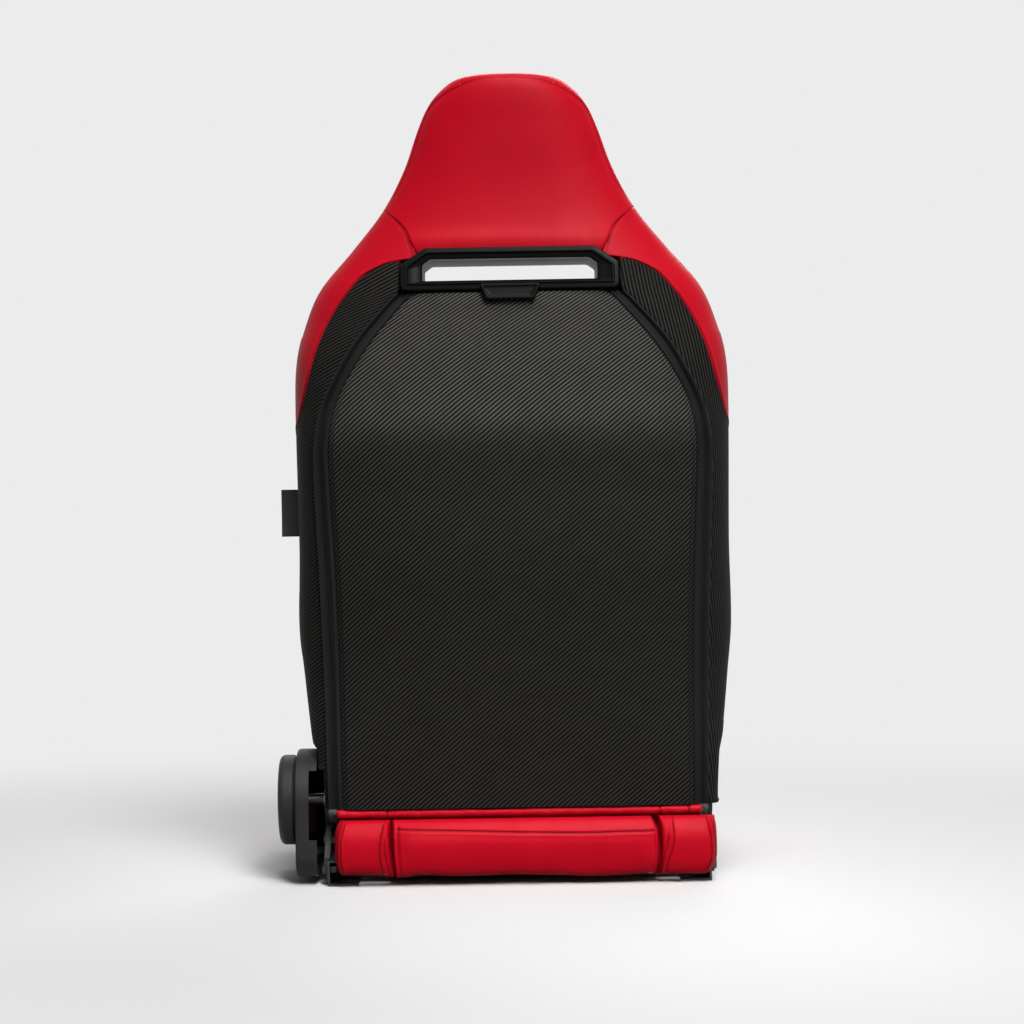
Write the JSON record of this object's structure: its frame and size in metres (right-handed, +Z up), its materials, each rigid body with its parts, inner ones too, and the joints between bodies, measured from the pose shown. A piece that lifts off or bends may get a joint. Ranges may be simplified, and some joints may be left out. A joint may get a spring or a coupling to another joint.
{
  "type": "reclining sport seat",
  "caption": "Reclining bucket sport seat with a harness slot, carbon-look back panel, padded bolsters and a side dial that sets the backrest's angle.",
  "frame": {"origin": "centre of the four floor mounting holes, on the underside of the rails", "axes": "+X to the seat's right side, +Y the way the seat faces, +Z up"},
  "size_m": [0.5384, 0.6013, 0.945],
  "materials": {
    "black_steel": "satin",
    "zinc_steel": "satin",
    "spring_wire": "satin",
    "fastener_steel": "satin",
    "black_plastic": "matte",
    "gloss_black_plastic": "gloss",
    "carbon_vinyl": "satin",
    "black_vinyl": "satin",
    "tag_fabric": "matte",
    "red_leatherette": "satin"
  },
  "bodies": {
    "seat_base": {"side_rail_left": "black_steel", "side_rail_right": "black_steel", "base_cross_tubes": "black_steel", "seat_springs": "spring_wire", "weld_nuts": "fastener_steel", "lower_bracket_left": "zinc_steel", "lower_bracket_right": "zinc_steel", "disc_fixed_left": "zinc_steel", "disc_fixed_right": "zinc_steel", "bracket_bolts": "fastener_steel", "recliner_cover": "black_plastic", "cover_screws": "black_plastic", "cushion_centre": "red_leatherette", "cushion_front_roll": "red_leatherette", "cushion_rear_roll": "red_leatherette", "thigh_bolster_left": "red_leatherette", "thigh_bolster_right": "red_leatherette"},
    "backrest": {"back_frame_hoop": "black_steel", "back_cross_tubes": "black_steel", "back_wires": "spring_wire", "recliner_arm_left": "black_steel", "recliner_arm_right": "black_steel", "disc_moving_left": "zinc_steel", "disc_moving_right": "zinc_steel", "rear_panel": "carbon_vinyl", "edge_band_left": "black_vinyl", "edge_band_right": "black_vinyl", "side_panel_left": "carbon_vinyl", "side_panel_right": "carbon_vinyl", "side_bolster_left": "red_leatherette", "side_bolster_right": "red_leatherette", "lower_pad_left": "red_leatherette", "lower_pad_right": "red_leatherette", "front_pad": "red_leatherette", "headrest": "red_leatherette", "slot_sleeve": "gloss_black_plastic", "rear_bezel": "gloss_black_plastic", "front_bezel": "gloss_black_plastic", "bezel_badge": "gloss_black_plastic", "hem_roll": "red_leatherette", "side_tag": "tag_fabric"},
    "recliner_drive": {"recliner_knob": "black_plastic", "cross_shaft": "fastener_steel", "shaft_clips": "fastener_steel"}
  },
  "joints": [
    {"name": "recline", "type": "hinge", "parent": "seat_base", "child": "backrest", "pos_m": [0, -0.186, 0.096], "axis": [1, 0, 0], "range_deg": [-12, 40]},
    {"name": "knob_turn", "type": "hinge", "parent": "seat_base", "child": "recliner_drive", "pos_m": [-0.26, -0.186, 0.096], "axis": [1, 0, 0], "range_deg": [-360, 1200]}
  ],
  "couplings": [
    {"joint": "knob_turn", "follows": "recline", "ratio": 30}
  ]
}
